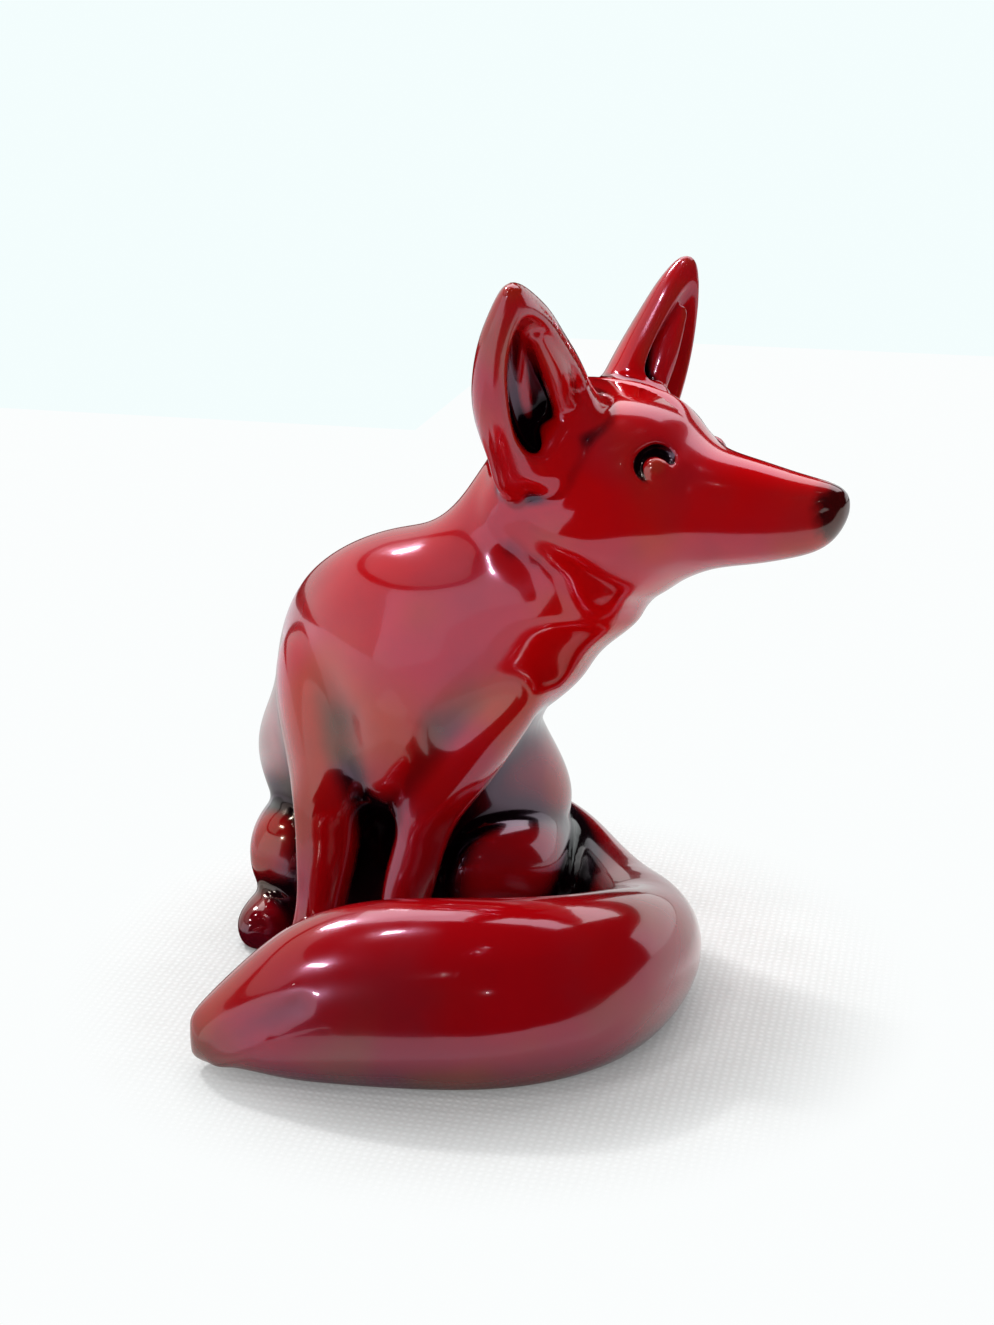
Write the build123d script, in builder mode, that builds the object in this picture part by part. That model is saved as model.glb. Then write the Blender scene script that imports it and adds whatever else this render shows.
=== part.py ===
"""Seated fox figurine in glazed ceramic, modelled as the separate castings that are luted together.

The fox sits with its chest towards -Y and turns its head towards +X. Its tail leaves the rump, goes
round the left haunch and ends in front of the forefeet. The origin is on the table
under the middle of the trunk, and +Z is up. All lengths are in millimetres. The tables below hold
shares of the named sizes, so the figurine scales with them.
"""

import os

from build123d import *

# Trunk and neck
TRUNK_WIDTH = 60.0
TRUNK_DEPTH = 50.0
TRUNK_HEIGHT = 85.0
NECK_JOINT_OFFSET = 24.0
NECK_JOINT_HEIGHT = 73.0
NECK_JOINT_LEAN = 25.5

# Head
HEAD_TURN = 68.0
HEAD_OFFSET = 32.0
HEAD_FORWARD = 3.0
HEAD_LEVEL = 86.0
MUZZLE_REACH = 51.0
HEAD_WIDTH = 35.0
HEAD_HEIGHT = 34.5
EYE_DIAMETER = 5.6
EYE_SOCKET_DIAMETER = 7.6

# Ears
EAR_LENGTH = 32.5
EAR_WIDTH = 21.0
EAR_DEPTH = 12.0

# Forelegs
FORELEG_LENGTH = 54.0
FORELEG_WIDTH = 13.0

# Hind legs
HAUNCH_HEIGHT = 25.0
HIND_FOOT_WIDTH = 12.0
HIND_FOOT_HEIGHT = 9.0

# Tail
TAIL_REACH = 50.0
TAIL_FRONT = 60.0
TAIL_HEIGHT = 29.5
TAIL_DEPTH = 27.0

# Casting
WALL = 4.0
VENT_DIAMETER = 8.0
OVERRUN = 1.0
CASTING_FOOT = (Align.CENTER, Align.CENTER, Align.MIN)

os.makedirs("parts", exist_ok=True)


def ellipse_faces(stations):
    """One elliptical face for each station, which is a plane, a half width and a half depth."""
    faces = []
    for plane, half_width, half_depth in stations:
        with BuildSketch(plane) as section:
            Ellipse(half_width, half_depth)
        faces.append(section.sketch)
    return faces


# Trunk and neck. Each row is a section of the body from the seat to the throat: where its right
# and its left outline are (across and up), how far back its middle is, and its half depth.
trunk_shares = (
    (-0.383, 0.000, 0.367, 0.000, 0.26, 0.38),
    (-0.450, 0.059, 0.425, 0.059, 0.25, 0.44),
    (-0.467, 0.153, 0.450, 0.153, 0.22, 0.48),
    (-0.500, 0.247, 0.475, 0.247, 0.20, 0.50),
    (-0.525, 0.329, 0.454, 0.318, 0.18, 0.50),
    (-0.492, 0.435, 0.404, 0.412, 0.12, 0.49),
    (-0.433, 0.529, 0.402, 0.482, 0.06, 0.47),
    (-0.400, 0.624, 0.475, 0.541, 0.01, 0.45),
    (-0.307, 0.776, 0.558, 0.606, -0.03, 0.41),
    (-0.043, 0.890, 0.642, 0.688, -0.06, 0.345),
    (0.185, 0.978, 0.725, 0.782, -0.06, 0.29),
    (0.325, 1.070, 0.825, 0.865, -0.07, 0.24),
)
trunk_vent_share = 0.26


def trunk_station(row, shrink):
    """The section of one row, drawn in by the shrink on all sides."""
    right = Vector(row[0] * TRUNK_WIDTH, row[4] * TRUNK_DEPTH, row[1] * TRUNK_HEIGHT)
    left = Vector(row[2] * TRUNK_WIDTH, row[4] * TRUNK_DEPTH, row[3] * TRUNK_HEIGHT)
    across = left - right
    plane = Plane(origin=(right + left) / 2, x_dir=across, z_dir=across.cross(Vector(0, 1, 0)))
    return plane, across.length / 2 - shrink, row[5] * TRUNK_DEPTH - shrink


neck_joint = Plane(
    origin=(NECK_JOINT_OFFSET, -HEAD_FORWARD, NECK_JOINT_HEIGHT),
    z_dir=Vector(0, 0, 1).rotate(Axis.Y, NECK_JOINT_LEAN),
)

with BuildPart() as body_blank:
    loft(ellipse_faces(trunk_station(row, 0) for row in trunk_shares))

with BuildPart() as body_hollow:
    loft(ellipse_faces(trunk_station(row, WALL) for row in trunk_shares))
    split(bisect_by=Plane.XY.offset(WALL), keep=Keep.TOP)

# Head. Its own frame looks along the muzzle. Each row is a section across the muzzle: how far
# forward it is, where its top and its underside are, and its half width.
head_centre = Vector(HEAD_OFFSET, -HEAD_FORWARD, HEAD_LEVEL)
muzzle_way = Vector(0, -1, 0).rotate(Axis.Z, HEAD_TURN)
head_left = Vector(1, 0, 0).rotate(Axis.Z, HEAD_TURN)


def head_point(forward, left, up):
    """A place in the head: this far along the muzzle, to the fox's left, and up."""
    return head_centre + muzzle_way * forward + head_left * left + Vector(0, 0, up)


eye_share = (0.431, 0.258, 0.275)
eye_way_share = (0.35, 0.75, 0.55)
eye_socket_share = 0.22
eye_ball_share = 0.30
head_shares = (
    (-0.304, 0.232, 0.000, 0.086),
    (-0.275, 0.319, -0.116, 0.200),
    (-0.196, 0.435, -0.261, 0.343),
    (-0.078, 0.530, -0.391, 0.443),
    (0.078, 0.559, -0.500, 0.494),
    (0.235, 0.545, -0.540, 0.480),
    (0.353, 0.487, -0.455, 0.409),
    (0.431, 0.394, -0.370, 0.343),
    (0.510, 0.319, -0.308, 0.286),
    (0.608, 0.287, -0.258, 0.237),
    (0.745, 0.258, -0.203, 0.194),
    (0.863, 0.235, -0.142, 0.160),
    (0.941, 0.220, -0.072, 0.120),
    (0.986, 0.191, 0.023, 0.071),
    (1.000, 0.159, 0.072, 0.037),
)


def head_station(row, shrink):
    """The section of one row across the head, drawn in by the shrink on all sides."""
    middle = (row[1] + row[2]) / 2 * HEAD_HEIGHT
    plane = Plane(
        origin=head_point(row[0] * MUZZLE_REACH, 0, middle), x_dir=head_left, z_dir=muzzle_way
    )
    return plane, row[3] * HEAD_WIDTH - shrink, (row[1] - row[2]) / 2 * HEAD_HEIGHT - shrink


with BuildPart() as trunk_blank:
    add(body_blank.part)
    split(bisect_by=neck_joint, keep=Keep.BOTTOM)

with BuildPart() as trunk:
    add(trunk_blank.part)
    add(body_hollow.part, mode=Mode.SUBTRACT)
    with Locations((0, trunk_vent_share * TRUNK_DEPTH, 0)):
        Cylinder(VENT_DIAMETER / 2, WALL + OVERRUN, align=CASTING_FOOT, mode=Mode.SUBTRACT)

with BuildPart() as head_blank:
    add(body_blank.part)
    split(bisect_by=neck_joint, keep=Keep.TOP)
    loft(ellipse_faces(head_station(row, 0) for row in head_shares))

# Ears. A row is a section across the ear: how far along it is, how far its middle lies towards the
# forehead, its half width and its half depth. The hollow has rows of its own.
ear_shares = (
    (-0.19, -0.12, 0.34, 0.42),
    (-0.10, -0.06, 0.44, 0.54),
    (0.02, 0.00, 0.50, 0.58),
    (0.19, -0.02, 0.50, 0.56),
    (0.43, -0.05, 0.46, 0.49),
    (0.62, -0.05, 0.38, 0.41),
    (0.77, -0.03, 0.29, 0.33),
    (0.89, -0.01, 0.18, 0.24),
    (0.97, 0.00, 0.09, 0.14),
    (1.00, 0.00, 0.03, 0.05),
)
ear_hollow_shares = (
    (-0.02, 0.00, 0.08, 0.12),
    (0.08, 0.00, 0.24, 0.40),
    (0.22, 0.01, 0.33, 0.55),
    (0.43, 0.01, 0.32, 0.54),
    (0.62, 0.00, 0.26, 0.44),
    (0.77, 0.00, 0.17, 0.33),
    (0.88, 0.00, 0.06, 0.18),
)
ear_foot_shares = {-1: (0.03, 0.36, 0.31), 1: (0.03, 0.36, 0.24)}
ear_tip_shares = {-1: (0.10, 0.80, 1.12), 1: (0.085, 0.77, 1.01)}
ear_front_shares = {-1: (0.14, 0.20, 0.55), 1: (0.075, 0.11, 0.415)}
ear_hollow_place_shares = {-1: (0.00, 0.46), 1: (0.06, 0.46)}


def ear_stations(side, rows, place_share=(0, 0)):
    """The sections of one ear, square to the line from its foot to its tip. The share moves them
    towards the forehead and out of the opening."""

    def place(share):
        return head_point(share[0] * MUZZLE_REACH, side * share[1] * HEAD_WIDTH, share[2] * HEAD_HEIGHT)

    foot = place(ear_foot_shares[side])
    along = (place(ear_tip_shares[side]) - foot).normalized()
    to_front = place(ear_front_shares[side]) - foot
    across = (to_front - along * along.dot(to_front)).normalized()
    opening = along.cross(across) * side
    stations = []
    for row in rows:
        middle = foot + along * (row[0] * EAR_LENGTH)
        middle = middle + across * ((row[1] + place_share[0]) * EAR_WIDTH)
        middle = middle + opening * (place_share[1] * EAR_DEPTH)
        plane = Plane(origin=middle, x_dir=across, z_dir=along)
        stations.append((plane, row[2] * EAR_WIDTH, row[3] * EAR_DEPTH))
    return stations


ears = {}
for name, side in (("right", -1), ("left", 1)):
    with BuildPart() as ear_hollow:
        loft(ellipse_faces(ear_stations(side, ear_hollow_shares, ear_hollow_place_shares[side])))
    with BuildPart() as ear:
        loft(ellipse_faces(ear_stations(side, ear_shares)))
        add(ear_hollow.part, mode=Mode.SUBTRACT)
        add(head_blank.part, mode=Mode.SUBTRACT)
    ears[name] = ear.part

# The head is hollow as far as the stop of the muzzle, and open to the hollow of the trunk.
hollow_head_shares = head_shares[2:9]
with BuildPart() as head:
    add(head_blank.part)
    add(body_hollow.part, mode=Mode.SUBTRACT)
    loft(ellipse_faces(head_station(row, WALL) for row in hollow_head_shares), mode=Mode.SUBTRACT)
    for side in (-1, 1):
        eye_place = head_point(
            eye_share[0] * MUZZLE_REACH, side * eye_share[1] * HEAD_WIDTH, eye_share[2] * HEAD_HEIGHT
        )
        eye_way = (
            muzzle_way * eye_way_share[0]
            + head_left * (side * eye_way_share[1])
            + Vector(0, 0, eye_way_share[2])
        ).normalized()
        with Locations(eye_place + eye_way * (eye_socket_share * EYE_SOCKET_DIAMETER)):
            Sphere(EYE_SOCKET_DIAMETER / 2, mode=Mode.SUBTRACT)
        with Locations(eye_place - eye_way * (eye_ball_share * EYE_DIAMETER)):
            Sphere(EYE_DIAMETER / 2)

# Forelegs. A row is a level section: across, back, up, half width and half depth.
right_foreleg_shares = (
    (-0.230, -0.16, 1.120, 0.30, 0.30),
    (-0.220, -0.18, 1.070, 0.52, 0.52),
    (-0.208, -0.20, 0.980, 0.68, 0.70),
    (-0.195, -0.25, 0.852, 0.68, 0.75),
    (-0.167, -0.34, 0.685, 0.58, 0.65),
    (-0.150, -0.41, 0.537, 0.51, 0.50),
    (-0.152, -0.44, 0.407, 0.45, 0.41),
    (-0.160, -0.46, 0.296, 0.39, 0.385),
    (-0.168, -0.49, 0.185, 0.36, 0.40),
    (-0.167, -0.56, 0.093, 0.42, 0.62),
    (-0.167, -0.575, 0.000, 0.42, 0.68),
)
left_foreleg_shares = (
    (0.335, -0.16, 1.120, 0.30, 0.30),
    (0.330, -0.18, 1.070, 0.54, 0.52),
    (0.315, -0.20, 0.980, 0.72, 0.70),
    (0.280, -0.25, 0.852, 0.73, 0.75),
    (0.217, -0.34, 0.685, 0.60, 0.65),
    (0.155, -0.41, 0.537, 0.43, 0.48),
    (0.122, -0.44, 0.407, 0.37, 0.40),
    (0.100, -0.46, 0.296, 0.355, 0.377),
    (0.087, -0.49, 0.185, 0.34, 0.385),
    (0.083, -0.56, 0.093, 0.42, 0.62),
    (0.083, -0.575, 0.000, 0.42, 0.68),
)


def foreleg_station(row):
    middle = (row[0] * TRUNK_WIDTH, row[1] * TRUNK_DEPTH, row[2] * FORELEG_LENGTH)
    return Plane(origin=middle), row[3] * FORELEG_WIDTH, row[4] * FORELEG_WIDTH


forelegs = {}
for name, rows in (("right", right_foreleg_shares), ("left", left_foreleg_shares)):
    with BuildPart() as foreleg:
        loft(ellipse_faces(foreleg_station(row) for row in rows))
        add(trunk_blank.part, mode=Mode.SUBTRACT)
    forelegs[name] = foreleg.part

# Hind legs. A row is an upright section facing forward: how far back it is, how far in from the
# trunk's side its middle is, how high, its half width and its half height.
haunch_shares = (
    (0.48, 0.521, 0.48, 0.12, 0.12),
    (0.44, 0.521, 0.48, 0.28, 0.28),
    (0.32, 0.499, 0.48, 0.42, 0.44),
    (0.12, 0.480, 0.48, 0.48, 0.50),
    (-0.06, 0.468, 0.49, 0.48, 0.51),
    (-0.18, 0.480, 0.50, 0.44, 0.48),
    (-0.27, 0.499, 0.52, 0.34, 0.40),
    (-0.33, 0.521, 0.53, 0.18, 0.24),
    (-0.35, 0.521, 0.53, 0.06, 0.08),
)
hind_foot_shares = (
    (0.12, 0.750, 0.33, 0.33, 0.55),
    (0.00, 0.710, 0.33, 0.42, 0.67),
    (-0.16, 0.665, 0.35, 0.46, 0.64),
    (-0.28, 0.625, 0.35, 0.48, 0.60),
    (-0.38, 0.600, 0.33, 0.45, 0.53),
    (-0.44, 0.600, 0.31, 0.33, 0.42),
    (-0.47, 0.600, 0.29, 0.15, 0.20),
)


def upright_stations(side, rows, width, height):
    stations = []
    for row in rows:
        across = side * (TRUNK_WIDTH / 2 - row[1] * width)
        middle = (across, row[0] * TRUNK_DEPTH, row[2] * height)
        plane = Plane(origin=middle, x_dir=(1, 0, 0), z_dir=(0, -1, 0))
        stations.append((plane, row[3] * width, row[4] * height))
    return stations


hind_legs = {}
for name, side in (("right", -1), ("left", 1)):
    with BuildPart() as hind_leg:
        loft(ellipse_faces(upright_stations(side, haunch_shares, HAUNCH_HEIGHT, HAUNCH_HEIGHT)))
        loft(ellipse_faces(upright_stations(side, hind_foot_shares, HIND_FOOT_WIDTH, HIND_FOOT_HEIGHT)))
        split(bisect_by=Plane.XY, keep=Keep.TOP)
        add(trunk_blank.part, mode=Mode.SUBTRACT)
        add(forelegs[name], mode=Mode.SUBTRACT)
    hind_legs[name] = hind_leg.part

# Tail. It leaves the middle of the rump and goes round the left haunch to the front. A row is an
# upright section across the tail, from the root to the tip: across and forward
# on the table, how high its top is, its half depth, and its middle as a share of the top.
tail_shares = (
    (-0.14, -0.483, 0.440, 0.190, 0.46),
    (0.04, -0.552, 0.460, 0.250, 0.46),
    (0.26, -0.545, 0.475, 0.285, 0.45),
    (0.45, -0.440, 0.470, 0.290, 0.45),
    (0.60, -0.280, 0.455, 0.285, 0.45),
    (0.71, -0.130, 0.465, 0.290, 0.45),
    (0.81, 0.010, 0.505, 0.305, 0.45),
    (0.90, 0.157, 0.585, 0.333, 0.45),
    (0.965, 0.340, 0.685, 0.370, 0.45),
    (0.945, 0.540, 0.830, 0.407, 0.45),
    (0.82, 0.745, 0.945, 0.455, 0.45),
    (0.62, 0.868, 0.993, 0.485, 0.45),
    (0.378, 0.928, 1.000, 0.490, 0.45),
    (0.11, 0.970, 0.949, 0.470, 0.46),
    (-0.10, 1.010, 0.790, 0.400, 0.48),
    (-0.235, 1.042, 0.590, 0.310, 0.52),
    (-0.315, 1.061, 0.455, 0.230, 0.55),
    (-0.360, 1.071, 0.375, 0.160, 0.58),
    (-0.385, 1.077, 0.315, 0.085, 0.62),
    (-0.391, 1.079, 0.260, 0.035, 0.68),
)
tail_vent_share = (0.378, 0.928)


def tail_stations(rows, shrink):
    """Upright sections square to the way of the tail, drawn in by the shrink on all sides."""
    places = [Vector(row[0] * TAIL_REACH, -row[1] * TAIL_FRONT, 0) for row in rows]
    last = len(rows) - 1
    stations = []
    for index, row in enumerate(rows):
        heading = places[min(index + 1, last)] - places[max(index - 1, 0)]
        top = row[2] * TAIL_HEIGHT
        middle = places[index] + Vector(0, 0, top * row[4])
        plane = Plane(origin=middle, x_dir=(0, 0, 1), z_dir=heading)
        stations.append((plane, top * (1 - row[4]) - shrink, row[3] * TAIL_DEPTH - shrink))
    return stations


hollow_tail_shares = tail_shares[7:16]
with BuildPart() as tail_hollow:
    loft(ellipse_faces(tail_stations(hollow_tail_shares, WALL)))
    split(bisect_by=Plane.XY.offset(WALL), keep=Keep.TOP)
    with Locations((tail_vent_share[0] * TAIL_REACH, -tail_vent_share[1] * TAIL_FRONT, 0)):
        Cylinder(VENT_DIAMETER / 2, WALL + OVERRUN, align=CASTING_FOOT)

with BuildPart() as tail:
    loft(ellipse_faces(tail_stations(tail_shares, 0)))
    split(bisect_by=Plane.XY, keep=Keep.TOP)
    add(tail_hollow.part, mode=Mode.SUBTRACT)
    add(trunk_blank.part, mode=Mode.SUBTRACT)
    add(hind_legs["left"], mode=Mode.SUBTRACT)

for name, shape in (
    ("trunk", trunk.part),
    ("head", head.part),
    ("right_ear", ears["right"]),
    ("left_ear", ears["left"]),
    ("right_foreleg", forelegs["right"]),
    ("left_foreleg", forelegs["left"]),
    ("right_hind_leg", hind_legs["right"]),
    ("left_hind_leg", hind_legs["left"]),
    ("tail", tail.part),
):
    shape.label = name
    export_step(shape, f"parts/{name}.step")
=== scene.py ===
"""Looks for the seated fox: a deep ruby, mirror-bright glaze on a pale table cloth.

The castings in the frame meet at sharp creases. Glaze doesn't: it bridges creases and rounds rims.
So the castings are joined into one distance field, the creases are bridged, the fine modelling is
worked into it, and its surface is drawn off as a skin. Each casting is then replaced by its own
share of that skin. Lengths are in metres, apart from rows of modelling strokes, which are in
millimetres.
"""

import functools
import math

import bpy
import numpy as np
import openvdb
from mathutils import Euler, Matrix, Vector


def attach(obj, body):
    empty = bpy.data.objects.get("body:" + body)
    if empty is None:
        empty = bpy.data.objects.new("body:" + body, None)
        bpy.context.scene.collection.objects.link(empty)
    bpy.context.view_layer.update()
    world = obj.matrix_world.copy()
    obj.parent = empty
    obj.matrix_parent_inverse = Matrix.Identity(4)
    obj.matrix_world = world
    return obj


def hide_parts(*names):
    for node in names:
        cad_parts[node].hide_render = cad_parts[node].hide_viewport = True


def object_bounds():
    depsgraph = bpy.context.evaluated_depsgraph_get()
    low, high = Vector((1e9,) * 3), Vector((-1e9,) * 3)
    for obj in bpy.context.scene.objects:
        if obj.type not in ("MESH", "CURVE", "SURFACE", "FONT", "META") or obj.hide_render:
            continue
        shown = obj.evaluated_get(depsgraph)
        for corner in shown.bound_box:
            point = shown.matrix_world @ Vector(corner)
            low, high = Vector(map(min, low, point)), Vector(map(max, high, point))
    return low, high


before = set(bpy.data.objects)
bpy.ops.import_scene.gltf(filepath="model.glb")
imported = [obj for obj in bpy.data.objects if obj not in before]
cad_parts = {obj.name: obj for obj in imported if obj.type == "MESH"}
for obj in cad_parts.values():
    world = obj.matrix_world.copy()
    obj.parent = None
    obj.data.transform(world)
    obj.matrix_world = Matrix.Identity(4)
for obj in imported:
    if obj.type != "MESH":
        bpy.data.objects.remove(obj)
cad_low, cad_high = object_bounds()

MM = 0.001
VOXEL = 0.5 * MM
BORDER = 28  # voxels of air round the figurine, more than the widest bridging
BAND = 4  # voxels on each side of the surface that hold true distances

LINE = openvdb.createLinearTransform(voxelSize=VOXEL)
FIRST = np.floor(np.array(cad_low) / VOXEL).astype(int) - BORDER
SHAPE = np.ceil(np.array(cad_high) / VOXEL).astype(int) + BORDER - FIRST

# Distance fields. A field is an array of signed distances, negative inside the clay.


def field_from(points, band=BAND, **faces):
    """The distance field of a surface, true as many voxels away from it as the band says."""
    grid = openvdb.FloatGrid.createLevelSetFromPolygons(
        points, transform=LINE, halfWidth=band, **faces
    )
    values = np.empty(tuple(SHAPE), np.float32)
    grid.copyToArray(values, ijk=tuple(map(int, FIRST)))
    return values


def surface_of(values, level=0.0):
    """Points and quads of the surface where the field has that level."""
    grid = openvdb.FloatGrid(float(values.max()))
    grid.copyFromArray(values, ijk=tuple(map(int, FIRST)))
    grid.transform = LINE
    return grid.convertToQuads(isovalue=level)


def node_field(node):
    """The distance field of one casting of the frame."""
    mesh = node.data
    mesh.calc_loop_triangles()
    points = np.empty(len(mesh.vertices) * 3, np.float32)
    mesh.vertices.foreach_get("co", points)
    corners = np.empty(len(mesh.loop_triangles) * 3, np.int32)
    mesh.loop_triangles.foreach_get("vertices", corners)
    return field_from(points.reshape(-1, 3), triangles=corners.reshape(-1, 3))


def bridged(values, radius):
    """The field with each crease filled to that radius: grown by it, then shrunk by it."""
    points, quads = surface_of(values)
    grown = field_from(points, quads=quads, band=radius / VOXEL + 2)
    points, quads = surface_of(grown, radius)
    return field_from(points, quads=quads, band=radius / VOXEL + BAND) + np.float32(radius)


def blurred(values, sigma):
    """The field after a Gaussian blur of that many cells."""
    reach = math.ceil(3 * sigma)
    weights = np.exp(-0.5 * (np.arange(reach + 1) / sigma) ** 2)
    weights /= weights[0] + 2 * weights[1:].sum()
    for axis in range(3):
        out = values * np.float32(weights[0])
        for step in range(1, reach + 1):
            ahead, behind = [slice(None)] * 3, [slice(None)] * 3
            ahead[axis], behind[axis] = slice(step, None), slice(None, -step)
            out[tuple(behind)] += np.float32(weights[step]) * values[tuple(ahead)]
            out[tuple(ahead)] += np.float32(weights[step]) * values[tuple(behind)]
        values = out
    return values


def sampled(values, points, stride=1):
    """The field at each point, for a field that keeps every stride-th cell."""
    places = (points / VOXEL - FIRST) / stride
    cell = np.clip(np.floor(places).astype(int), 0, np.array(values.shape) - 2)
    part = places - cell
    total = np.zeros(len(points), np.float32)
    for corner in np.ndindex(2, 2, 2):
        weight = np.prod(np.where(corner, part, 1 - part), axis=1)
        total += weight * values[tuple((cell + corner).T)]
    return total


def slopes(values, points):
    """The field's unit slope at each point, which is the surface's normal there."""
    slope = np.empty_like(points)
    for axis in range(3):
        step = np.zeros(3, np.float32)
        step[axis] = VOXEL
        slope[:, axis] = sampled(values, points + step) - sampled(values, points - step)
    return unit(slope)


def unit(rows):
    return rows / np.linalg.norm(rows, axis=1, keepdims=True)


def heights():
    """The height of each layer of cells, shaped to go with the fields."""
    return ((np.arange(SHAPE[2]) + FIRST[2]) * VOXEL)[None, None, :]


def eased(values, low, high):
    """A share that goes smoothly from nought at the low value to one at the high one."""
    share = np.clip((values - low) / (high - low), 0, 1)
    return (share * share * (3 - 2 * share)).astype(np.float32)


# Modelling tools. A stroke is a row of points with a radius at each, like a roll of clay.


def stroke_distance(cells, points, radii):
    """How far each cell is from the stroke."""
    distance = None
    for start, end, first, last in zip(points, points[1:], radii, radii[1:]):
        along = end - start
        offset = [cells[axis] - start[axis] for axis in range(3)]
        share = sum(offset[axis] * along[axis] for axis in range(3))
        share = np.clip(share / max(along @ along, VOXEL**4), 0, 1)
        gap = np.sqrt(sum((offset[axis] - share * along[axis]) ** 2 for axis in range(3)))
        piece = gap - (first + share * (last - first))
        distance = piece if distance is None else np.minimum(distance, piece)
    return distance


def smooth_stroke(points, radii, steps=5):
    """The stroke with more points, on a curve through those given."""
    rows = np.array([(*point, radius) for point, radius in zip(points, radii)])
    ends = np.vstack([2 * rows[0] - rows[1], rows, 2 * rows[-1] - rows[-2]])
    curve = []
    for a, b, c, d in zip(ends, ends[1:], ends[2:], ends[3:]):
        for t in np.arange(steps) / steps:
            bend = (3 * b - a - 3 * c + d) * t**3 + (2 * a - 5 * b + 4 * c - d) * t**2
            curve.append((bend + (c - a) * t + 2 * b) / 2)
    curve = np.array(curve + [rows[-1]])
    return curve[:, :3], curve[:, 3]


def work(values, points, radii, blend, cut=False):
    """Adds a stroke to the clay or cuts it out, with soft edges as wide as the blend. Radii and
    blend are in millimetres."""
    points, radii = smooth_stroke(points, [radius * MM for radius in radii])
    blend = blend * MM
    reach = max(radii) + blend + 2 * VOXEL
    low = np.floor((np.min(points, axis=0) - reach) / VOXEL).astype(int) - FIRST
    high = np.ceil((np.max(points, axis=0) + reach) / VOXEL).astype(int) - FIRST
    low, high = np.maximum(low, 0), np.minimum(high, SHAPE)
    block = tuple(slice(a, b) for a, b in zip(low, high))
    cells = np.meshgrid(
        *((np.arange(a, b) + first) * VOXEL for a, b, first in zip(low, high, FIRST)),
        indexing="ij",
        sparse=True,
    )
    old, new = values[block], stroke_distance(cells, points, radii)
    if cut:
        old = -old
    overlap = np.clip(1 - np.abs(old - new) / blend, 0, 1)
    joined = np.minimum(old, new) - overlap**2 * blend / 4
    values[block] = -joined if cut else joined


def body_work(values, rows, blend, cut=False):
    """Works a stroke whose rows are x, y, z and radius."""
    points = [Vector(row[:3]) * MM for row in rows]
    work(values, points, [row[3] for row in rows], blend, cut)


# Places on the head, in its own frame: forward along the muzzle, to the fox's left, and up
HEAD_CENTRE = Vector((32, -3, 86)) * MM
HEAD_TURN = math.radians(68)
FORWARD = Vector((math.sin(HEAD_TURN), -math.cos(HEAD_TURN), 0))
LEFT = Vector((math.cos(HEAD_TURN), math.sin(HEAD_TURN), 0))
UP = Vector((0, 0, 1))
RIGHT_SIDE, LEFT_SIDE = -1, 1
EYE_PLACE = (21.2, 10.3, 9.1)  # forward, outward, up
EYE_FACING = (0.35, 0.75, 0.45)


def head_place(forward, left, up):
    return HEAD_CENTRE + (FORWARD * forward + LEFT * left + UP * up) * MM


def head_work(values, side, rows, blend, cut=False, drop=0.0):
    """Works a stroke on one side of the head, lowered by the drop. Its rows are forward, outward,
    up and radius."""
    points = [head_place(forward, side * out, up - drop) for forward, out, up, _ in rows]
    work(values, points, [row[3] for row in rows], blend, cut)


def model_eye(values, side):
    """A ball in a socket. Below and in front it runs out into the cheek, and over it and behind
    it a deep groove is left."""
    ahead, out, up = EYE_PLACE
    eye = head_place(ahead, side * out, up)
    ahead, out, up = EYE_FACING
    way = (FORWARD * ahead + LEFT * side * out + UP * up).normalized()
    high = (UP - way * way.dot(UP)).normalized()
    front = way.cross(high) * side

    def eye_work(rows, blend, cut=False):
        """Works a stroke round the eye. Its rows are turn, from the front of the eye over its top,
        distance out, lift off the head, and radius."""
        points = []
        for turn, out, lift, _ in rows:
            across = front * math.cos(turn) + high * math.sin(turn)
            points.append(eye + (across * out + way * lift) * MM)
        work(values, points, [row[3] for row in rows], blend, cut)

    socket = (0, 0, 1.2, 3.9)
    run_out = (-0.9, 3.1, -2.9, 2.7)
    ball = (-0.9, 0.8, -1.9, 2.6)
    eye_work([socket] * 2, 0.6, cut=True)
    eye_work([run_out] * 2, 1.6)
    eye_work([ball] * 2, 0.3)
    groove_turns = (0.2, 0.8, 1.4, 2.0, 2.7, 3.4, 4.1)
    groove_radii = (0.7, 1.3, 1.3, 0.9, 0.6, 0.6, 0.4)
    groove = [(turn, 2.7, -1.6, radius) for turn, radius in zip(groove_turns, groove_radii)]
    eye_work(groove, 0.3, cut=True)


def model_cheek(values, side):
    """The cheek, which stands out in front of the neck and narrows from there to the muzzle."""
    cheek = [
        (-4.0, 8.0, -2.0, 7.4),
        (0.0, 8.6, -2.0, 8.0),
        (9.0, 8.2, -2.0, 8.2),
        (20.0, 5.0, -1.0, 7.0),
    ]
    head_work(values, side, cheek, 3.0)


def model_nose(values):
    """Two nostrils, and the cleft between them."""
    for side in (RIGHT_SIDE, LEFT_SIDE):
        nostril = [(48.9, 3.0, 3.6, 0.7), (47.4, 3.9, 2.8, 0.4)]
        head_work(values, side, nostril, 0.9, cut=True)
    cleft = [(51.6, 0, 3.6, 0.4), (51.2, 0, 0.6, 0.3)]
    head_work(values, LEFT_SIDE, cleft, 0.8, cut=True)


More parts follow.
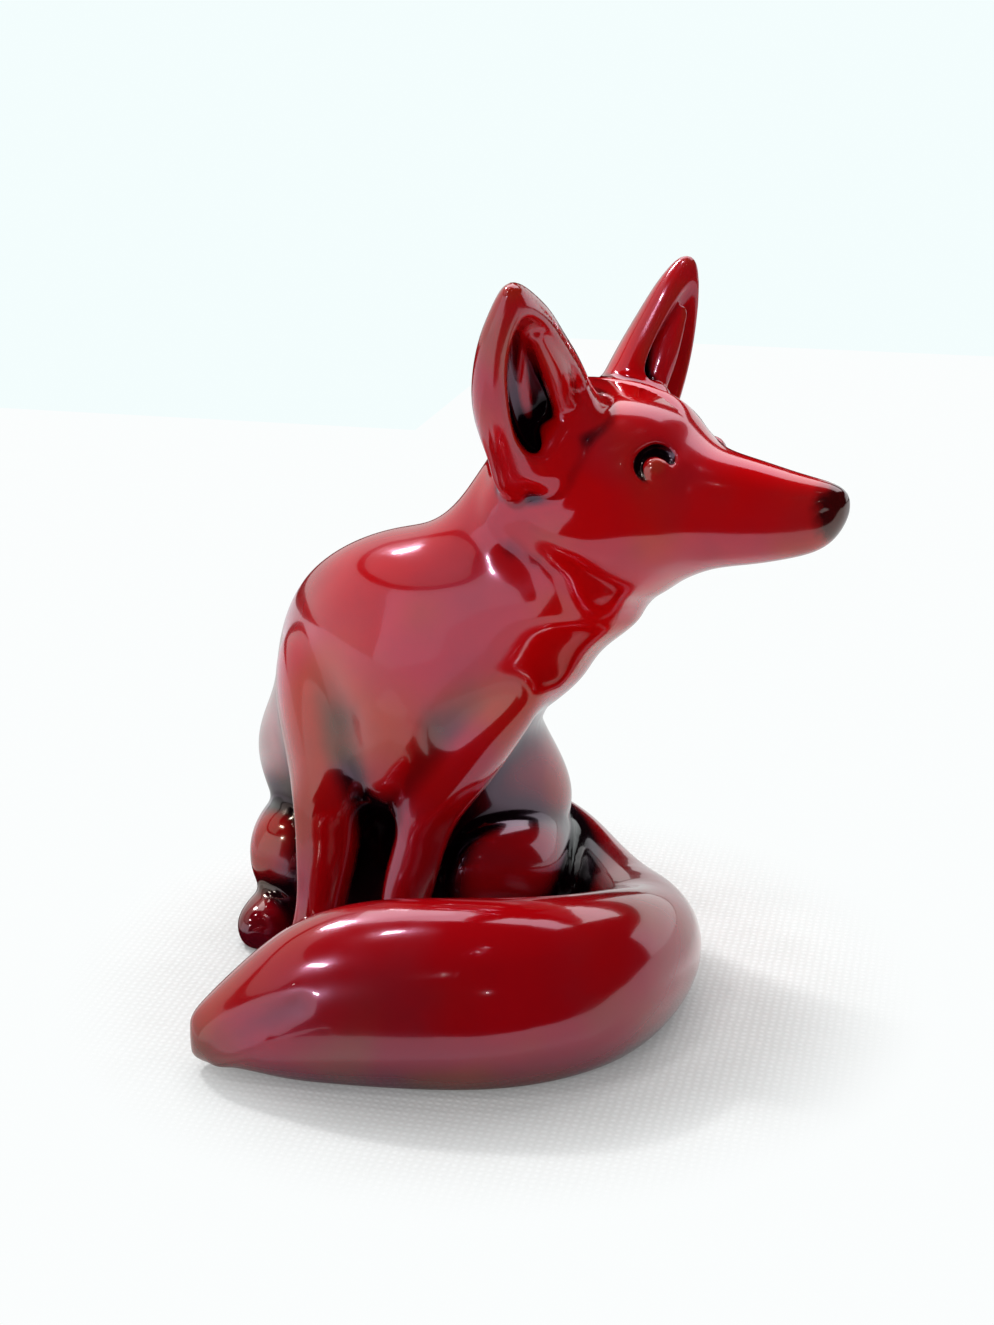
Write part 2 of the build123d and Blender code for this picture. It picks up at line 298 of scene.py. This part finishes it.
def model_ear(values, side, drop):
    """In the cup of an ear: the saddle under it, the channel behind, and the fold that comes from
    the front rim."""
    saddle = [
        (8.2, 11.2, 16.0 + drop / 2, 2.6),
        (5.8, 13.2, 13.0, 3.4),
        (5.4, 14.8, 10.2, 3.5),
        (4.6, 16.4, 7.0, 3.2),
    ]
    head_work(values, side, saddle, 3.0, drop=drop)
    channel = [
        (3.4, 25.2, 31.5, 0.9),
        (1.0, 21.8, 23.0, 1.5),
        (1.0, 18.6, 14.5, 1.7),
        (3.2, 16.8, 8.5, 1.1),
    ]
    head_work(values, side, channel, 1.6, cut=True, drop=drop)
    fold = [(6.2, 22.0, 30.2, 1.5), (6.2, 17.2, 24.0, 2.5), (6.0, 13.6, 17.6, 2.3)]
    head_work(values, side, fold, 1.2, drop=drop)


def model_tail_tip(values):
    """The tip of the tail: a soft ridge, and the shallow valley over it."""
    ridge = [(-13.4, -67.6, 4.4, 1.2), (-9.2, -68.9, 7.6, 1.4), (-5.0, -69.3, 10.6, 1.0)]
    body_work(values, ridge, 2.4)
    valley = [(-10.6, -72.2, 9.6, 1.5), (-5.4, -72.9, 14.0, 2.1), (1.0, -72.4, 17.4, 1.4)]
    body_work(values, valley, 3.0, cut=True)


def fill_chest(values):
    """The chest between the shoulders, which runs out above the gap between the forelegs."""
    middle = [(3, -16.5, 37.5, 8.0), (3, -14.8, 46, 9.6), (4, -11.5, 54, 10.5)]
    body_work(values, middle, 6.0)


def plug_vents(values):
    """Closes both vents about 2 mm up, so that the skin leaves out the inside of the castings."""
    trunk_vent, tail_vent = (0.0, 13.0), (18.9, -55.7)
    for vent in (trunk_vent, tail_vent):
        body_work(values, [(*vent, 7, 5.5)] * 2, 0.2)


# How wide creases are bridged: at the feet, round the ears, and on the body
TIGHT, MIDDLING, WIDE = 1.3 * MM, 3.5 * MM, 11 * MM
# The heights at which these stretches begin and end
BODY_BEGINS, BODY_ENDS = (33 * MM, 44 * MM), (82 * MM, 90 * MM)
EARS_BEGIN, EARS_END = (84 * MM, 92 * MM), (101 * MM, 109 * MM)
GLAZE_BLUR = 1.0  # cells
LEFT_EAR_DROP = 2.5


def modelled_clay():
    """The castings joined, creases bridged, details worked in, and rims rounded by the glaze."""
    clay = functools.reduce(np.minimum, castings.values())
    plug_vents(clay)
    fill_chest(clay)
    body = eased(heights(), *BODY_BEGINS) * (1 - eased(heights(), *BODY_ENDS))
    ears = eased(heights(), *EARS_BEGIN) * (1 - eased(heights(), *EARS_END))
    tight, middling, wide = (bridged(clay, radius) for radius in (TIGHT, MIDDLING, WIDE))
    clay = tight + (middling - tight) * ears + (wide - tight) * body
    for side in (RIGHT_SIDE, LEFT_SIDE):
        model_cheek(clay, side)
    for side in (RIGHT_SIDE, LEFT_SIDE):
        model_eye(clay, side)
    model_nose(clay)
    model_ear(clay, RIGHT_SIDE, 0.0)
    model_ear(clay, LEFT_SIDE, LEFT_EAR_DROP)
    model_tail_tip(clay)
    return blurred(clay, GLAZE_BLUR)


# How much of each way is added to the skin's normals, where they lean
HEAD_LEAN, FOLD_LEAN = 0.32, 0.30
CHEST_LEAN = np.array([-0.32, 0, 0])
LEG_LEAN = np.array([0.35, 0, 0.05])
TAIL_LEAN = np.array([0.08, 0, 0.20])


def leaned(normals, points):
    """Normals for shading only, which don't bend the mesh. On 38% of the skin they lean from the
    surface's own, typically by 10 to 14 degrees and by 37 at most. There the castings' slopes
    differ from the figurine's, and with the lean the glaze mirrors what the figurine's does.
    Ranges are in millimetres, or in shares of the normal."""
    in_head = (points - np.array(HEAD_CENTRE)) @ np.array([FORWARD, LEFT, UP]).T / MM
    forward, left, up = in_head.T
    x, y, z = points.T / MM
    # The sides of the head
    sideways = normals @ np.array(LEFT)
    sides = eased(forward, -13, -3) * eased(up, -15, -8) * (1 - eased(up, 8, 16))
    sides = sides * eased(np.abs(sideways), 0.25, 0.85)
    # The front of the ears and the crown
    folds = eased(up, 14, 18) * eased(forward, 2, 5) * np.sign(left)
    # The chest and the legs, which part at a slant, where they face the front
    slant = z - 0.35 * x
    front = eased(-normals[:, 1], 0.1, 0.7) * (1 - eased(y, -5, 5))
    chest = front * eased(slant, 36, 44) * (1 - eased(z, 62, 78))
    chest = chest * (1 + 0.9 * eased(x, 4, 22) * (1 - eased(z, 52, 62)))
    legs = front * (1 - eased(slant, 33, 40)) * eased(y, -50, -40)
    # The front of the tail
    tail = (1 - eased(y, -60, -46)) * (1 - eased(z, 24, 30)) * eased(-normals[:, 1], 0.0, 0.6)
    normals = (
        normals
        + np.array(FORWARD) * (HEAD_LEAN * sides)[:, None]
        - np.array(LEFT) * (FOLD_LEAN * folds)[:, None]
        + CHEST_LEAN * chest[:, None]
        + LEG_LEAN * legs[:, None]
        + TAIL_LEAN * tail[:, None]
    )
    return unit(normals).astype(np.float32)


castings = {name: node_field(node) for name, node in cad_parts.items()}
clay = modelled_clay()
points, quads = surface_of(clay)
normals = slopes(clay, points)
points = np.clip(points - normals * sampled(clay, points)[:, None], cad_low, cad_high)
normals = leaned(slopes(clay, points), points)

# How far each point lies in a hollow (positive) or on a ridge (negative), at two sizes
nearby = -sampled(blurred(clay, 2.2), points) / MM
around = -sampled(blurred(clay[::2, ::2, ::2], 4.0), points, stride=2) / MM

middles = points[quads].mean(axis=1)
owners = np.argmin([sampled(castings[name], middles) for name in castings], axis=0)


# Materials


def material(name):
    """A new node material: its node tree, and its Principled shader."""
    made = bpy.data.materials.new(name)
    made.use_nodes = True
    return made, made.node_tree, made.node_tree.nodes["Principled BSDF"]


def node(tree, kind, links=(), **settings):
    """A node with its settings. Its inputs are set to a number, a colour or a node's output."""
    new = tree.nodes.new(kind)
    for key, value in settings.items():
        setattr(new, key, value)
    for key, value in dict(links).items():
        if isinstance(value, bpy.types.NodeSocket):
            tree.links.new(value, new.inputs[key])
        else:
            new.inputs[key].default_value = value
    return new


def noise(tree, vector, scale, detail=2.0, roughness=0.5):
    links = {"Vector": vector, "Scale": scale, "Detail": detail, "Roughness": roughness}
    return node(tree, "ShaderNodeTexNoise", links).outputs["Fac"]


def remap(tree, value, low, high, to_low=0.0, to_high=1.0):
    """The value taken smoothly from one range to another."""
    links = {"Value": value, 1: low, 2: high, 3: to_low, 4: to_high}
    made = node(tree, "ShaderNodeMapRange", links, interpolation_type="SMOOTHSTEP")
    return made.outputs["Result"]


def math_node(tree, operation, first, second):
    made = node(tree, "ShaderNodeMath", {0: first, 1: second}, operation=operation)
    return made.outputs["Value"]


def plus_scaled(tree, first, second, scale):
    """The first value plus so much of the second."""
    return math_node(tree, "ADD", first, math_node(tree, "MULTIPLY", second, scale))


def distance_node(tree, place, centre):
    gap = node(tree, "ShaderNodeVectorMath", {0: place, 1: centre}, operation="DISTANCE")
    return gap.outputs["Value"]


def mixed(tree, share, first, second):
    """A mix of two colours."""
    links = {"Factor": share, 6: first, 7: second}
    return node(tree, "ShaderNodeMix", links, data_type="RGBA").outputs[2]


def mixed_value(tree, share, first, second):
    """A mix of two numbers."""
    links = {"Factor": share, 2: first, 3: second}
    return node(tree, "ShaderNodeMix", links, data_type="FLOAT").outputs[0]


RUBY = (0.66, 0.0012, 0.0022, 1)
MAROON = (0.30, 0.0005, 0.0040, 1)
# Near black: painted shade in hollows and creases, and the dark nose
HOLLOW_SHADE_AND_NOSE = (0.003, 0.0003, 0.0015, 1)
HEAVY = (0.045, 0.0008, 0.008, 1)
THIN = (0.40, 0.030, 0.010, 1)
BISCUIT = (0.62, 0.52, 0.40, 1)
MAUVE = (1.0, 0.55, 0.88, 1)
OCHRE = (1.0, 0.80, 0.56, 1)
TEAL = (0.66, 0.95, 0.90, 1)
SHADED_TINT = (0.1, 0.1, 0.1, 1)

NOSE_CENTRE = head_place(51.0, 0, 3.4)
NOSE_INNER, NOSE_OUTER = 0.0052, 0.0078


def ruby_glaze():
    """Copper-red glaze: brownish where it thins over rims, with painted shade that turns hollows
    and creases near black, and a nose that is near black. Its reflections carry a faint mauve,
    ochre and teal lustre, and are dimmed in hollows as painted shade."""
    made, tree, shader = material("ruby_glaze")
    place = node(tree, "ShaderNodeTexCoord").outputs["Object"]
    near = node(tree, "ShaderNodeAttribute", attribute_name="nearby").outputs["Fac"]
    wide = node(tree, "ShaderNodeAttribute", attribute_name="around").outputs["Fac"]
    height = node(tree, "ShaderNodeSeparateXYZ", {0: place}).outputs["Z"]
    cloudy = noise(tree, place, 45.0, 3.0)
    mottled = noise(tree, place, 260.0, 4.0, 0.6)

    # The red, deeper towards the foot and in clouds, and brownish over rims
    lower = remap(tree, height, 0.070, 0.015, 0.0, 0.75)
    deeper = math_node(tree, "MAXIMUM", lower, remap(tree, cloudy, 0.35, 0.72, 0.0, 0.5))
    colour = mixed(tree, deeper, RUBY, MAROON)
    rim = plus_scaled(tree, near, mottled, 0.10)
    colour = mixed(tree, remap(tree, rim, -0.40, -0.17, 0.55, 0.0), colour, THIN)

    # Painted shade: hollows and creases darken to near black. Above the lower chest only narrow
    # hollows get it, and soft creases stay red
    shade_depth = plus_scaled(tree, wide, cloudy, 0.5)
    shade_here = remap(tree, height, 0.045, 0.060, 1.0, 0.0)
    shade_here = math_node(tree, "MAXIMUM", shade_here, remap(tree, near, 0.0, 0.14))
    painted_shade = math_node(tree, "MULTIPLY", remap(tree, shade_depth, -0.80, 0.0), shade_here)
    colour = mixed(tree, painted_shade, colour, HOLLOW_SHADE_AND_NOSE)
    # Painted shade on reflections: hollows mirror less, and through a darker tint
    reflection_shade = math_node(tree, "MULTIPLY", remap(tree, wide, -0.25, 0.35), shade_here)
    # The nose: near black, partly its own dark glaze and partly painted shade in its nostrils
    colour = mixed(tree, nose_share(tree, place), colour, HOLLOW_SHADE_AND_NOSE)

    # Heavy glaze that has run down to the foot, and the bare rim that was wiped under it
    run_down = plus_scaled(tree, height, cloudy, 0.012)
    colour = mixed(tree, remap(tree, run_down, 0.006, 0.019, 0.85, 0.0), colour, HEAVY)
    foot = plus_scaled(tree, height, mottled, 0.0003)
    wiped = remap(tree, foot, 0.0002, 0.00035, 1.0, 0.0)
    colour = mixed(tree, wiped, colour, BISCUIT)
    tree.links.new(colour, shader.inputs["Base Color"])

    # Lustre
    lustre = noise(tree, place, 28.0, 2.0)
    tint = mixed(tree, remap(tree, lustre, 0.36, 0.50), OCHRE, MAUVE)
    tint = mixed(tree, remap(tree, lustre, 0.56, 0.70), tint, TEAL)
    # Reflections in hollows are tinted dark, as painted shade
    tint = mixed(tree, reflection_shade, tint, SHADED_TINT)
    tree.links.new(tint, shader.inputs["Specular Tint"])

    # Gloss: a hazy layer under a clear one. The clear one is weaker in hollows, as painted shade
    # on their reflections, and gone on the wiped foot
    hazy = remap(tree, cloudy, 0.38, 0.66, 0.10, 0.22)
    tree.links.new(mixed_value(tree, wiped, hazy, 0.85), shader.inputs["Roughness"])
    bare_and_shaded = math_node(tree, "MAXIMUM", wiped, math_node(tree, "MULTIPLY", reflection_shade, 0.7))
    tree.links.new(math_node(tree, "SUBTRACT", 0.8, bare_and_shaded), shader.inputs["Coat Weight"])
    shader.inputs["Coat Roughness"].default_value = 0.015
    shader.inputs["Coat IOR"].default_value = 1.5
    shader.inputs["IOR"].default_value = 1.8

    # The slight swell and grain of a fired surface
    swell = noise(tree, place, 120.0, 1.0)
    speckled = noise(tree, place, 1400.0, 2.0)
    grain = plus_scaled(tree, swell, speckled, 0.02)
    bump = node(tree, "ShaderNodeBump", {"Height": grain, "Strength": 0.10, "Distance": 0.0006})
    tree.links.new(bump.outputs["Normal"], shader.inputs["Normal"])
    tree.links.new(bump.outputs["Normal"], shader.inputs["Coat Normal"])
    return made


def nose_share(tree, place):
    """How far a place lies in the dark nose: partly the nose's own dark glaze and partly painted
    shade in its nostrils.
    """
    edge = math_node(tree, "MULTIPLY", noise(tree, place, 500.0, 2.0), 0.002)
    gap = math_node(tree, "ADD", distance_node(tree, place, NOSE_CENTRE), edge)
    return remap(tree, gap, NOSE_INNER, NOSE_OUTER, 0.9, 0.0)


def skin_piece(name, faces, finish):
    """The share of the skin that stands for one casting."""
    used, corners = np.unique(faces, return_inverse=True)
    mesh = bpy.data.meshes.new(name)
    mesh.from_pydata(points[used], [], corners.reshape(-1, 4))
    mesh.shade_smooth()
    mesh.normals_split_custom_set_from_vertices(normals[used])
    for label, numbers in (("nearby", nearby), ("around", around)):
        mesh.attributes.new(label, "FLOAT", "POINT").data.foreach_set("value", numbers[used])
    mesh.materials.append(finish)
    piece = bpy.data.objects.new(name, mesh)
    bpy.context.scene.collection.objects.link(piece)
    return piece


glaze = ruby_glaze()
for index, name in enumerate(castings):
    piece = skin_piece(f"{name}_glazed", quads[owners == index], glaze)
    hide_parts(name)
    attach(piece, "root")


# Stage: a white cloth, what stands round it, and lamps

WHITE = (0.965, 0.985, 0.985, 1)
THREAD_SHADE = (0.80, 0.80, 0.79, 1)
THREAD_LIGHT = (0.93, 0.94, 0.94, 1)
WEAVE_SCALE = 225.0  # 14 threads to the centimetre
SHADOW_CENTRE = (0.02, -0.02, 0)
SHADOW_NEAR, SHADOW_FAR = 0.048, 0.080
MIRRORED_WHITE = 0.66  # what the glaze mirrors of the cloth's white, against 1 for the camera


def linen():
    """A white cloth in plain weave. Away from the figurine it brightens to a plain white ground,
    and near it keeps the shadow."""
    made, tree, shader = material("linen")
    place = node(tree, "ShaderNodeTexCoord").outputs["Object"]
    threads = []
    for direction in ("X", "Y"):
        links = {
            "Vector": place,
            "Scale": WEAVE_SCALE,
            "Distortion": 1.6,
            "Detail": 2.0,
            "Detail Scale": 1.5,
        }
        thread = node(tree, "ShaderNodeTexWave", links, bands_direction=direction)
        threads.append(thread.outputs["Fac"])
    weave = math_node(tree, "MULTIPLY", threads[0], threads[1])
    tone = plus_scaled(tree, weave, noise(tree, place, 90.0, 3.0), 0.9)
    colour = mixed(tree, remap(tree, tone, 0.2, 1.4), THREAD_SHADE, THREAD_LIGHT)
    tree.links.new(colour, shader.inputs["Base Color"])
    shader.inputs["Roughness"].default_value = 1.0
    shader.inputs["Specular IOR Level"].default_value = 0.0
    bump = node(tree, "ShaderNodeBump", {"Height": weave, "Strength": 0.5, "Distance": 0.0002})
    tree.links.new(bump.outputs["Normal"], shader.inputs["Normal"])

    gap = distance_node(tree, place, SHADOW_CENTRE)
    far = remap(tree, gap, SHADOW_NEAR, SHADOW_FAR, 0.15, 1.0)
    share = math_node(tree, "MULTIPLY", far, seen_directly(tree))
    mirrored = node(tree, "ShaderNodeLightPath").outputs["Is Glossy Ray"]
    strength = remap(tree, mirrored, 0.0, 1.0, 1.0, MIRRORED_WHITE)
    white = node(tree, "ShaderNodeEmission", {"Color": WHITE, "Strength": strength})
    links = {0: share, 1: shader.outputs[0], 2: white.outputs[0]}
    blend = node(tree, "ShaderNodeMixShader", links)
    tree.links.new(blend.outputs[0], tree.nodes["Material Output"].inputs["Surface"])
    return made


def seen_directly(tree):
    """One for camera, glossy and transmission rays, and nought for rays that only light things."""
    rays = node(tree, "ShaderNodeLightPath").outputs
    direct = math_node(tree, "MAXIMUM", rays["Is Glossy Ray"], rays["Is Transmission Ray"])
    return math_node(tree, "MAXIMUM", rays["Is Camera Ray"], direct)


def plain_light(name, colour, strength):
    """A material that only glows."""
    made, tree, shader = material(name)
    glow = node(tree, "ShaderNodeEmission", {"Color": (*colour, 1), "Strength": strength})
    tree.links.new(glow.outputs[0], tree.nodes["Material Output"].inputs["Surface"])
    tree.nodes.remove(shader)
    return made


def stage_piece(name, corners, faces, finish, camera=True, glossy=True, diffuse=True):
    mesh = bpy.data.meshes.new(name)
    mesh.from_pydata(corners, [], faces)
    mesh.materials.append(finish)
    piece = bpy.data.objects.new(name, mesh)
    bpy.context.scene.collection.objects.link(piece)
    piece.visible_camera, piece.visible_glossy, piece.visible_diffuse = camera, glossy, diffuse
    piece.visible_shadow = diffuse
    return piece


def rectangle(name, x_range, y_range, height, finish, **seen_by):
    """A level rectangle."""
    (x0, x1), (y0, y1) = x_range, y_range
    corners = [(x0, y0, height), (x1, y0, height), (x1, y1, height), (x0, y1, height)]
    return stage_piece(name, corners, [(0, 1, 2, 3)], finish, **seen_by)


def way_of(turn, lift):
    """The unit way to a place in the room, by its turn from the front and its lift from level."""
    turn, lift = math.radians(turn), math.radians(lift)
    return Vector(
        (math.sin(turn) * math.cos(lift), -math.cos(turn) * math.cos(lift), math.sin(lift))
    )


TURN_STEPS, LIFT_STEPS = 24, 12


def screen(name, turn_range, lift_range, distance, finish):
    """Part of a dome that only reflections see. Turns are from the front, lifts from level."""
    turns = np.radians(np.linspace(*turn_range, TURN_STEPS + 1))
    lifts = np.radians(np.linspace(*lift_range, LIFT_STEPS + 1))
    corners = [
        (
            distance * math.sin(turn) * math.cos(lift),
            -distance * math.cos(turn) * math.cos(lift),
            distance * math.sin(lift),
        )
        for turn in turns
        for lift in lifts
    ]
    row = LIFT_STEPS + 1
    faces = [
        (a * row + b, a * row + row + b, a * row + row + 1 + b, a * row + 1 + b)
        for a in range(TURN_STEPS)
        for b in range(LIFT_STEPS)
    ]
    return stage_piece(name, corners, faces, finish, camera=False, diffuse=False)


TABLE_LEFT, TABLE_RIGHT = -0.11, 0.70
TABLE_FRONT, TABLE_BACK = -0.145, 0.60
FAR = (-3, 3)
WALL_DISTANCE = 1.8

cloth = linen()
rectangle("table_cloth", (TABLE_LEFT, TABLE_RIGHT), (TABLE_FRONT, TABLE_BACK), 0, cloth)
# The same cloth further out, which only the camera sees
seen_only = {"glossy": False, "diffuse": False}
rectangle("table_cloth_beyond", FAR, (-3, 0.40), -0.0005, cloth, **seen_only)

# What only reflections see: a dark room, a dark sheet of painted shade where the floor under the
# figurine lies in shadow, white cards on the left, a pale wall from there to the front, and others
# on the far left and behind
dark = plain_light("dark_room", (0.008, 0.003, 0.004), 1.0)
card = plain_light("white_card", (0.95, 0.94, 1.0), 0.85)
unseen = {"camera": False, "diffuse": False}
rectangle("dark_floor", FAR, FAR, -0.02, dark, **unseen)
# Painted shade: a dark sheet for the shadowed floor between the tail and the feet, which only
# reflections see
rectangle("floor_shade_sheet", (-0.045, 0.03), (-0.050, 0.01), 0.0005, dark, **unseen)
left_of_table, before_table = (-WALL_DISTANCE, TABLE_LEFT), (-WALL_DISTANCE, TABLE_FRONT)
rectangle("white_card", left_of_table, (-WALL_DISTANCE, 0.30), -0.001, card, **unseen)
rectangle("white_card_in_front", (TABLE_LEFT, -0.01), before_table, -0.001, card, **unseen)
screen("dark_walls", (-180, 180), (-2, 90), 2.0, dark)
for name, turn_range, lift_range, colour, strength in (
    ("pale_wall", (-72, -14), (-1, 33), (0.92, 0.95, 1.0), 1.0),
    ("pale_wall_left", (-165, -72), (-1, 33), (0.9, 0.97, 0.95), 0.6),
    ("side_wall", (-165, -38), (37, 60), (1.0, 0.93, 0.9), 0.5),
    ("wall_behind", (118, 178), (-1, 22), (0.94, 1.0, 1.0), 0.95),
):
    finish = plain_light(name, colour, strength)
    screen(name, turn_range, lift_range, WALL_DISTANCE, finish)

AIM = Vector((0.01, -0.01, 0.05))


def lamp(name, turn, lift, distance, width, height, watts):
    """A rectangular lamp that looks at the figurine."""
    data = bpy.data.lights.new(name, "AREA")
    data.shape, data.size, data.size_y = "RECTANGLE", width, height
    data.energy = watts
    made = bpy.data.objects.new(name, data)
    bpy.context.scene.collection.objects.link(made)
    way = way_of(turn, lift)
    made.location = AIM + way * distance
    made.rotation_euler = way.to_track_quat("Z", "Y").to_euler()
    return made


# Name, turn, lift, distance, width, height and watts
LAMPS = (
    ("ceiling_panel", 176, 54, 1.0, 1.1, 0.72, 4.8),
    ("left_window", -128, 50, 1.0, 0.10, 0.16, 2.2),
    ("front_lamp", -15, 30, 1.3, 0.09, 0.06, 0.8),
    ("front_left_lamp", -39, 57, 1.3, 0.20, 0.06, 1.3),
    ("overhead_lamp", -86, 81, 1.3, 0.07, 0.07, 0.6),
    ("shadow_lamp", -122, 48, 1.0, 0.05, 0.05, 3.0),
)
lamps = {row[0]: lamp(*row) for row in LAMPS}
# This lamp casts the shadow on the cloth, and the glaze doesn't mirror it
lamps["shadow_lamp"].visible_glossy = False

# Small bulbs that only reflections see
BULB_PLACES = ((-30, 40), (20, 47), (33, 30), (42, 66), (50, 69))
BULB_DISTANCE, BULB_RADIUS, BULB_CORNERS = 1.5, 0.009, 12
bulb = plain_light("bulb", (1.0, 0.95, 0.88), 30.0)
for number, (turn, lift) in enumerate(BULB_PLACES):
    middle = way_of(turn, lift) * BULB_DISTANCE
    across = way_of(turn + 90, 0)
    above = across.cross(way_of(turn, lift))
    rim = [
        middle + (across * math.cos(a) + above * math.sin(a)) * BULB_RADIUS
        for a in np.linspace(0, 2 * math.pi, BULB_CORNERS, endpoint=False)
    ]
    face = range(BULB_CORNERS)
    stage_piece(f"bulb_{number}", rim, [face], bulb, camera=False, diffuse=False)

# The world, white to look at and dimmer to be lit by
world = bpy.data.worlds.new("white_room")
bpy.context.scene.world = world
world.use_nodes = True
tree = world.node_tree
seen = node(tree, "ShaderNodeBackground", {"Color": (0.90, 0.985, 0.985, 1), "Strength": 1.0})
felt = node(tree, "ShaderNodeBackground", {"Color": (0.97, 1.0, 1.0, 1), "Strength": 0.4})
links = {0: seen_directly(tree), 1: felt.outputs[0], 2: seen.outputs[0]}
blend = node(tree, "ShaderNodeMixShader", links)
tree.links.new(blend.outputs[0], tree.nodes["World Output"].inputs["Surface"])

# The camera, where the photograph was taken from
FRAME_LONG_SIDE = 1325
FOCAL_PIXELS = 2074
CAMERA_PLACE = (0.09918, -0.34590, 0.17522)
CAMERA_DOWN, CAMERA_TURN = 19.182, 13.408
camera_data = bpy.data.cameras.new("camera")
camera_data.lens = FOCAL_PIXELS / FRAME_LONG_SIDE * camera_data.sensor_width
camera = bpy.data.objects.new("camera", camera_data)
camera.location = CAMERA_PLACE
camera.rotation_euler = Euler((math.radians(90 - CAMERA_DOWN), 0, math.radians(CAMERA_TURN)))
bpy.context.scene.collection.objects.link(camera)
bpy.context.scene.camera = camera
bpy.context.scene.view_settings.view_transform = "Standard"
